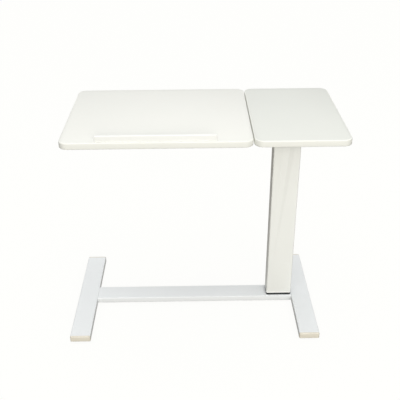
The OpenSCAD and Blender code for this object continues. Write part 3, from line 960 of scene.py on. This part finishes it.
@dataclass
class TableTop:
    """A melamine-faced board with a soft plastic edge strip all round.

    Sizes are in millimetres, and roundness is a share of the strip's wall.
    """

    name: str
    board: str
    strip: str
    finish: Finish
    corner_r: float = 25.0
    seam: float = 0.05
    arris: float = 0.3
    roundness: float = 0.86

    def build(self) -> None:
        """Model the board and its edge strip, with their finishes."""
        self.build_board()
        self.build_strip()

    def build_board(self) -> None:
        """Model the board: rounded in plan, with a fine arris against the strip."""
        low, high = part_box(self.board)
        wall = (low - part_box(self.strip)[0]).x
        shape = Shape.block(f"{self.name}_panel", (low, high))
        shape.pick(Pick.EDGES, lambda _, way: not level(way)).round_off(self.corner_r * MM - wall, steps=20)
        shape.pick(Pick.EDGES, lambda _, way: level(way)).round_off(self.arris * MM, steps=2)
        shape.done(self.finish, body_of(self.board), self.board)

    def build_strip(self) -> None:
        """Model the strip: a closed band with fully rounded upper and lower edges."""
        low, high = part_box(self.strip)
        wall = (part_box(self.board)[0] - low).x - self.seam * MM
        soft = self.roundness * wall
        shape = Shape.block(f"{self.name}_edge", (low, high))
        shape.pick(Pick.EDGES, lambda _, way: not level(way)).round_off(self.corner_r * MM, steps=24)
        shape.pick(Pick.EDGES, lambda _, way: level(way)).round_off(soft, steps=6)
        shape.hollow(2, wall - soft)
        shape.done(EDGE_ABS, body_of(self.strip), self.strip)


@dataclass
class BookStop:
    """The ledge that keeps a book on the tilted top. Sizes in millimetres."""

    end_r: float = 3.4
    lip_r: float = 1.8
    foot_r: float = 0.5

    def build(self) -> None:
        """Model the ledge: round ends, a soft upper lip and a fine chamfer on the board."""
        low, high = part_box("book_stop")
        middle = (low.z + high.z) / 2
        shape = Shape.block("book_ledge", (low, high))
        shape.pick(Pick.EDGES, lambda _, way: not level(way)).round_off(self.end_r * MM, steps=8)
        shape.pick(Pick.EDGES, lambda place, way: level(way) and place.z > middle)
        shape.round_off(self.lip_r * MM, steps=5)
        shape.pick(Pick.EDGES, lambda place, way: level(way) and place.z < low.z + NEAR)
        shape.round_off(self.foot_r * MM, steps=2)
        shape.done(STOP_ABS, body_of("book_stop"), "book_stop")
        wood_screw("book_stop_screw", 31).spread("book_stop_screws", 3, 1, BRIGHT_Z)


# ---- base --------------------------------------------------------------------------------------


@dataclass
class BaseFrame:
    """The H-shaped base: two feet and a crossbar of flat tube, caps, glides and bolts.

    Sizes are in millimetres.
    """

    tube_r: float = 3.0
    tube_wall: float = 1.5
    cap_plug: float = 16.0
    cap_r: float = 4.0
    plug_slack: float = 0.05
    plug_wall: float = 2.0
    plug_floor: float = 1.0
    glide_d: float = 34.0
    stem_d: float = 10.0
    stem_tip: float = 1.0
    sole_r: float = 1.4
    rim_r: float = 0.6
    sole_rim: float = 3.5
    sole_dip: float = 0.8
    stem_taper: float = 0.8

    def build(self) -> None:
        """Model every piece of the base, with its finish."""
        for node in ("left_foot", "right_foot"):
            self.build_tube(node, 1)
        self.build_tube("crossbar", 0)
        self.build_welds()
        self.build_caps()
        self.build_glides()
        self.build_bolts()

    def build_tube(self, node: str, axis: int) -> None:
        """Model a flat tube with round long edges and a real wall.

        Args:
            node: The frame node that it stands for.
            axis: The tube's direction: 0 for X, 1 for Y.
        """
        shape = Shape.block(f"{node}_tube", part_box(node))
        shape.pick(Pick.EDGES, lambda _, way: abs(way[axis]) > ALONG).round_off(self.tube_r * MM, steps=6)
        shape.hollow(axis, self.tube_wall * MM)
        shape.done(FRAME_COAT, body_of(node), node)

    def build_welds(self) -> None:
        """Lay a bead up each inner corner between the crossbar and the feet."""
        low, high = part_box("crossbar")
        bead = WeldBead()
        for end, x in (("left", low.x), ("right", high.x)):
            for side, y in (("front", low.y), ("back", high.y)):
                start = Vector((x, y, low.z + self.tube_r * MM))
                top = Vector((x, y, high.z - self.tube_r * MM))
                bead.run(f"base_weld_{end}_{side}", start, top, FRAME_COAT, body_of("crossbar"))

    def build_caps(self) -> None:
        """Model one end cap, with its hollow plug, and copy it to the four ends of the feet."""
        foot_low, foot_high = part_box("right_foot")
        cap_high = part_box("foot_end_caps")[1]
        middle_x = (foot_low.x + foot_high.x) / 2
        flange = (
            Vector((foot_low.x, foot_high.y, foot_low.z)),
            Vector((foot_high.x, cap_high.y, foot_high.z)),
        )
        shape = Shape.block("foot_end_cap", flange)
        seam_y = foot_high.y + NEAR
        shape.pick(Pick.EDGES, lambda place, way: place.y > seam_y and abs(way.z) > ALONG)
        shape.round_off(self.cap_r * MM, steps=8)
        shape.pick(Pick.EDGES, lambda place, way: place.y > seam_y and level(way))
        shape.round_off(self.tube_r * MM, steps=6)
        shape.pick(Pick.FACES, lambda place, normal: normal.y < -FACING)
        shape.inset((self.tube_wall + self.plug_slack) * MM).pull(-self.cap_plug * MM * Y_AXIS)
        shape.inset(self.plug_wall * MM).pull((self.cap_plug - self.plug_floor) * MM * Y_AXIS)
        turned = [
            Matrix.Translation((x - math.cos(turn) * middle_x, 0, 0)) @ Matrix.Rotation(turn, 4, "Z")
            for x in (self.middle_x("left_foot"), self.middle_x("right_foot"))
            for turn in (0.0, math.pi)
        ]
        for copy in shape.copies(turned):
            copy.done(CREAM_PP, body_of("foot_end_caps"), "foot_end_caps")

    def build_glides(self) -> None:
        """Model one floor glide, with its recessed sole and its stem, and copy it to four places."""
        radius = self.glide_d / 2 * MM
        low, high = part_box("floor_glides")
        tube_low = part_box("left_foot")[0].z
        shape = Shape.rod("floor_glide", radius, Vector((0, 0, low.z)), Vector((0, 0, tube_low)), sides=56)
        shape.pick(Pick.EDGES, lambda place, way: level(way) and place.z < low.z + NEAR)
        shape.round_off(self.sole_r * MM, steps=4)
        shape.pick(Pick.EDGES, lambda place, way: level(way) and place.z > tube_low - NEAR)
        shape.round_off(self.rim_r * MM, steps=3)
        shape.pick(Pick.FACES, lambda _, normal: normal.z < -FACING)
        shape.inset(self.sole_rim * MM).inset(self.rim_r * MM, -self.sole_dip * MM)
        shape.pick(Pick.FACES, lambda _, normal: normal.z > FACING)
        shape.inset(radius - (self.rim_r + self.stem_d / 2) * MM)
        shape.pull((high.z - tube_low - self.stem_tip * MM) * Z_AXIS)
        taper = (self.stem_taper, self.stem_taper, 1)
        shape.pull(self.stem_tip * MM * Z_AXIS).squeeze(taper, Vector((0, 0, 0)))
        feet_x = [self.middle_x("left_foot"), self.middle_x("right_foot")]
        sides_y = [low.y + radius, high.y - radius]
        places = [Matrix.Translation((x, y, 0)) for x in feet_x for y in sides_y]
        for copy in shape.copies(places):
            copy.done(DARK_NYLON, body_of("floor_glides"), "floor_glides")

    def build_bolts(self) -> None:
        """Place the column's bolts and soften the hidden spacers and the foot plate."""
        bolt = Screw(
            "column_bolt",
            shaft_d=6,
            length=24,
            head_d=12,
            head_t=3,
            pitch=1.5,
            drive=Drive.HEXAGON,
            pointed=False,
        )
        bolt.spread("column_bolts", 2, 2, BRIGHT_Z)
        soften_node("crossbar_spacers", BRIGHT_Z, 0.4)
        soften_node("column_foot_plate", ZINC, 0.5)

    @staticmethod
    def middle_x(node: str) -> float:
        """Return the middle of a node's box along X."""
        low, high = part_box(node)
        return (low.x + high.x) / 2


# ---- column ------------------------------------------------------------------------------------


@dataclass
class Column:
    """The lifting column: a coated sleeve over a plain inner tube, with a gas spring inside.

    Sizes are in millimetres.
    """

    corner_r: float = 4.0
    gasket_wall: float = 4.2
    gasket_roll: float = 0.6

    def build(self) -> None:
        """Model every piece of the column, with its finish."""
        self.build_gasket()
        soften_node("lower_guide", NATURAL_NYLON, 0.5, steps=3)
        soften_node("outer_column", COLUMN_COAT, 0.4)
        soften_node("upper_guide", NATURAL_NYLON, 0.4)
        soften_node("inner_column", ZINC, 0.4)
        self.build_gas_spring()

    def build_gasket(self) -> None:
        """Model the black gasket under the column: a ring with softly rolled edges."""
        shape = Shape.block("foot_seal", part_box("foot_gasket"))
        shape.pick(Pick.EDGES, lambda _, way: not level(way)).round_off(self.corner_r * MM, steps=8)
        shape.pick(Pick.EDGES, lambda _, way: level(way)).round_off(self.gasket_roll * MM, steps=3)
        shape.hollow(2, (self.gasket_wall - self.gasket_roll) * MM)
        shape.done(BLACK_RUBBER, body_of("foot_gasket"), "foot_gasket")

    def build_gas_spring(self) -> None:
        """Soften the edges of the gas spring and of its valve pin."""
        soften_node("gas_spring_cylinder", BLACK_ENAMEL, 0.6, steps=3)
        soften_node("gas_spring_gland", BLACK_RUBBER, 0.5)
        soften_node("gas_spring_piston", BLACK_RUBBER, 0.6)
        soften_node("gas_spring_rod", CHROME, 0.3)
        soften_node("gas_spring_pin", BRIGHT_Y, 0.5)
        soften_node("release_pin", BRIGHT_Z, 0.4)


@dataclass
class ColumnHead:
    """What joins the column to the small top: plate, gussets, screws and the release block."""

    def build(self) -> None:
        """Model every piece of the head, with its finish."""
        soften_node("head_plate", FRAME_COAT, 0.6)
        soften_node("head_gussets", FRAME_COAT, 0.5)
        soften_node("release_head", ZINC, 0.6)
        soften_node("release_head_screws", BRIGHT_Y, 0.5, steps=3)
        soften_node("rod_nut", BRIGHT_Z, 0.5)
        soften_node("lever_pivot_pin", BRIGHT_Y, 0.4)
        wood_screw("small_top_screw", 17).spread("small_top_screws", 3, 2, BRIGHT_Z)


@dataclass
class ReleaseLever:
    """The lever under the small top that frees the gas spring, and its moulded grip.

    Sizes are in millimetres.
    """

    grip_r: float = 7.0
    waists: int = 3
    waist: float = 0.86
    slices: int = 4
    end_taper: tuple[float, float] = (0.9, 0.88)

    def build(self) -> None:
        """Model the lever and its grip, with their finishes."""
        soften_node("release_lever", ZINC, 0.7)
        self.build_grip()

    def build_grip(self) -> None:
        """Model the grip: a rounded bar with shallow waists for the fingers."""
        low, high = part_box("lever_grip")
        centre = (low + high) / 2
        shape = Shape.block("lever_handle", (low, high))
        shape.pick(Pick.EDGES, lambda _, way: abs(way.x) > ALONG).round_off(self.grip_r * MM, steps=5)

        def loop_at(x: float) -> Test:
            """Return a test for the loop of edges that crosses the grip at x."""
            return lambda place, way: abs(place.x - x) < NEAR and abs(way.x) < ACROSS

        steps = self.slices * self.waists
        for i in range(1, steps):
            point = Vector((low.x + (high.x - low.x) * i / steps, centre.y, centre.z))
            shape.slice_at(point, X_AXIS)
            if i % self.slices == self.slices // 2:
                shape.pick(Pick.EDGES, loop_at(point.x))
                shape.squeeze((1, self.waist, self.waist), point)
        for x in (low.x, high.x):
            shape.pick(Pick.EDGES, loop_at(x))
            shape.squeeze((1, *self.end_taper), Vector((x, centre.y, centre.z)))
        shape.modify("SUBSURF", levels=2, render_levels=2)
        shape.done(DARK_NYLON, body_of("lever_grip"), "lever_grip", smooth_deg=FLOWING)


# ---- support and tilt --------------------------------------------------------------------------


@dataclass
class TopSupport:
    """The tube that carries the large top, its brackets and the clamp. Sizes in millimetres."""

    saddle_dx: float = 20.0
    saddle_dy: float = 52.0
    quadrant_dy: float = 44.0
    quadrant_x: float = 15.0
    saddle_head_rise: float = 1.0
    clamp_grain: float = 0.8

    def build(self) -> None:
        """Model every piece of the support, with its finish."""
        soften_node("support_tube", FRAME_COAT, 0.4)
        soften_node("support_gusset", FRAME_COAT, 0.5)
        soften_node("support_tube_cap", DARK_NYLON, 1.2, steps=4)
        for node in ("retaining_collar", "clamp_arm", "left_saddle", "right_saddle", "tilt_quadrant"):
            soften_node(node, ZINC, 0.6)
        soften_node("tilt_bushes", NATURAL_NYLON, 0.4)
        soften_node("clamp_bolt", BRIGHT_X, 0.6, steps=3)
        soften_node("clamp_washer", BRIGHT_X, 0.4)
        self.build_screws()
        self.build_clamp_lever()

    def build_screws(self) -> None:
        """Place the wood screws of the two saddles and of the quadrant."""
        head_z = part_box("bracket_screws")[0].z
        saddle_z = self.saddle_head_rise * MM + head_z
        dx, dy = self.saddle_dx * MM, self.saddle_dy * MM
        places = []
        for node in ("left_saddle", "right_saddle"):
            low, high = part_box(node)
            middle = (low + high) / 2
            places += [
                Vector((middle.x + sx * dx, middle.y + sy * dy, saddle_z)) for sx in (-1, 1) for sy in (-1, 1)
            ]
        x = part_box("tilt_quadrant")[0].x + self.quadrant_x * MM
        places += [Vector((x, middle.y + sy * self.quadrant_dy * MM, head_z)) for sy in (-1, 1)]
        wood_screw("bracket_screw", 16).place("bracket_screws", places, BRIGHT_Z)

    def build_clamp_lever(self) -> None:
        """Smooth the moulded clamp lever into one flowing shape and soften its brass insert."""
        shape = Shape.of_node("clamp_handle", "clamp_lever")
        shape.modify("REMESH", mode="VOXEL", voxel_size=self.clamp_grain * MM)
        shape.modify("SMOOTH", factor=0.5, iterations=6)
        shape.done(DARK_NYLON, body_of("clamp_lever"), "clamp_lever", smooth_deg=FLOWING)
        soften_node("clamp_lever_insert", BRASS, 0.4)


# ---- studio ------------------------------------------------------------------------------------


@dataclass(frozen=True)
class SoftBox:
    """An area light: where it stands, what it looks at, its size in metres and its power."""

    name: str
    place: tuple[float, float, float]
    aim: tuple[float, float, float]
    size: tuple[float, float]
    watts: float
    colour: str

    def build(self) -> None:
        """Set the light up."""
        Shape.clear_selection()
        bpy.ops.object.light_add(type="AREA", location=self.place)
        lamp = bpy.context.object
        lamp.name = self.name
        lamp.rotation_euler = (Vector(self.aim) - Vector(self.place)).to_track_quat("-Z", "Y").to_euler()
        lamp.data.shape = "RECTANGLE"
        lamp.data.size, lamp.data.size_y = self.size
        lamp.data.energy = self.watts
        lamp.data.color = linear(self.colour)[:3]


@dataclass
class Studio:
    """A pale floor, soft light and the camera.

    Lengths are in metres, angles in degrees, and the lens and its sensor in millimetres. A wall's
    light fades into the opposite wall's over wall_fade to each side of the middle, and the dome's
    tint over tint_fade.
    """

    floor_size: float = 30.0
    camera_place: tuple[float, float, float] = (-0.01705, -1.79886, 1.39667)
    yaw: float = 0.58
    pitch: float = -29.25
    roll: float = -0.47
    focal: float = 58.14
    low_tint: str = "#fff8ec"
    high_tint: str = "#ffffff"
    left_light: float = 0.05
    right_light: float = 0.1
    front_light: float = 0.72
    back_light: float = 0.68
    floor_light: float = 0.15
    ceiling_light: float = 1.48
    wall_fade: float = 0.2
    tint_fade: float = 0.4
    sensor: float = 36.0
    nearest: float = 0.05
    farthest: float = 60.0
    floor_drop: float = 0.0005
    floor_paint: str = "#f4f4f2"
    paper: str = "#fefefc"
    floor_glow: float = 1.01
    glow_share: float = 0.94

    def build(self) -> None:
        """Set up the floor, the sky, the lights and the camera."""
        self.build_floor()
        self.build_sky()
        SoftBox(
            name="front_softbox",
            place=(0.9, -5.6, 2.3),
            aim=(0.0, 0.0, 0.3),
            size=(3.8, 2.6),
            watts=170.0,
            colour="#fffdf8",
        ).build()
        SoftBox(
            name="top_softbox",
            place=(-0.8, -0.6, 3.6),
            aim=(-0.1, 0.0, 0.4),
            size=(2.6, 2.2),
            watts=5.7,
            colour="#ffffff",
        ).build()
        self.build_camera()

    def build_floor(self) -> None:
        """Lay a plain pale floor that only the camera sees, open from below."""
        Shape.clear_selection()
        bpy.ops.mesh.primitive_plane_add(size=self.floor_size, location=(0, 0, -self.floor_drop))
        floor = bpy.context.object
        floor.name = "studio_floor"
        material = bpy.data.materials.new("studio_floor_paint")
        material.use_nodes = True
        tree = material.node_tree
        tree.nodes.clear()
        matt = add_node(tree, "ShaderNodeBsdfDiffuse", {"Color": linear(self.floor_paint)})
        glow = add_node(
            tree, "ShaderNodeEmission", {"Color": linear(self.paper), "Strength": self.floor_glow}
        )
        lit = add_node(
            tree,
            "ShaderNodeMixShader",
            {0: self.glow_share},
            {1: matt.outputs["BSDF"], 2: glow.outputs["Emission"]},
        )
        below = add_node(tree, "ShaderNodeNewGeometry").outputs["Backfacing"]
        clear = add_node(tree, "ShaderNodeBsdfTransparent")
        shown = add_node(
            tree, "ShaderNodeMixShader", links={0: below, 1: lit.outputs["Shader"], 2: clear.outputs["BSDF"]}
        )
        add_node(tree, "ShaderNodeOutputMaterial", links={"Surface": shown.outputs["Shader"]})
        floor.data.materials.append(material)
        floor.visible_diffuse = floor.visible_glossy = floor.visible_transmission = False
        floor.visible_shadow = False

    def build_sky(self) -> None:
        """Light the scene from a dome that is as bright each way as the room's wall there."""
        world = bpy.data.worlds.new("studio_dome")
        world.use_nodes = True
        tree = world.node_tree
        tree.nodes.clear()
        way = add_node(tree, "ShaderNodeTexCoord").outputs["Generated"]
        parts = add_node(tree, "ShaderNodeSeparateXYZ", links={0: way}).outputs
        walls = (
            ("X", self.left_light, self.right_light),
            ("Y", self.front_light, self.back_light),
            ("Z", self.floor_light, self.ceiling_light),
        )
        room = None
        for axis, below, above in walls:
            wall = add_node(
                tree,
                "ShaderNodeMapRange",
                {
                    "From Min": -self.wall_fade,
                    "From Max": self.wall_fade,
                    "To Min": below,
                    "To Max": above,
                },
                {"Value": parts[axis]},
            ).outputs["Result"]
            share = add_node(
                tree, "ShaderNodeMath", {"operation": "MULTIPLY"}, {0: parts[axis], 1: parts[axis]}
            ).outputs[0]
            links = {0: share, 1: wall} if room is None else {0: share, 1: wall, 2: room}
            room = add_node(
                tree, "ShaderNodeMath", {"operation": "MULTIPLY_ADD", 2: 0.0}, links
            ).outputs[0]
        tint = add_node(
            tree,
            "ShaderNodeMapRange",
            {"From Min": -self.tint_fade, "From Max": self.tint_fade},
            {"Value": parts["Z"]},
        ).outputs["Result"]
        colour = add_node(
            tree,
            "ShaderNodeMix",
            {"data_type": "RGBA", MIX_A: linear(self.low_tint), MIX_B: linear(self.high_tint)},
            {MIX_FACTOR: tint},
        ).outputs[MIX_RESULT]
        dome = add_node(tree, "ShaderNodeBackground", links={"Color": colour, "Strength": room})
        paper = add_node(tree, "ShaderNodeBackground", {"Color": linear(self.paper), "Strength": 1.0})
        seen = add_node(tree, "ShaderNodeLightPath").outputs["Is Camera Ray"]
        mixed = add_node(
            tree,
            "ShaderNodeMixShader",
            links={0: seen, 1: dome.outputs["Background"], 2: paper.outputs["Background"]},
        )
        add_node(tree, "ShaderNodeOutputWorld", links={"Surface": mixed.outputs["Shader"]})
        bpy.context.scene.world = world
        bpy.context.scene.view_settings.view_transform = "Standard"

    def build_camera(self) -> None:
        """Stand the camera in front of the table, looking down on it."""
        yaw, pitch, roll = (math.radians(a) for a in (self.yaw, self.pitch, self.roll))
        ahead = Vector(
            (math.sin(yaw) * math.cos(pitch), math.cos(yaw) * math.cos(pitch), math.sin(pitch))
        )
        flat_right = Vector((math.cos(yaw), -math.sin(yaw), 0.0))
        flat_up = flat_right.cross(ahead)
        right = math.cos(roll) * flat_right + math.sin(roll) * flat_up
        up = math.cos(roll) * flat_up - math.sin(roll) * flat_right
        turn = Matrix((right, up, -ahead)).transposed().to_4x4()
        Shape.clear_selection()
        bpy.ops.object.camera_add()
        camera = bpy.context.object
        camera.matrix_world = Matrix.Translation(self.camera_place) @ turn
        camera.data.sensor_width = self.sensor
        camera.data.lens = self.focal
        camera.data.clip_start, camera.data.clip_end = self.nearest, self.farthest
        bpy.context.scene.camera = camera


def main() -> None:
    """Build the studio and every sub-assembly."""
    logging.basicConfig(level=logging.INFO, format="%(name)s: %(message)s")
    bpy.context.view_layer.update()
    Studio().build()
    BaseFrame().build()
    Column().build()
    ColumnHead().build()
    ReleaseLever().build()
    TopSupport().build()
    TableTop("main_top", "main_top_board", "main_top_edge_band", MAIN_MELAMINE).build()
    # the small top takes the melamine with painted shade in its colour
    TableTop("small_top", "small_top_board", "small_top_edge_band", SHADED_SIDE_MELAMINE).build()
    BookStop().build()
    Shape.clear_selection()


if __name__ == "__main__":
    main()
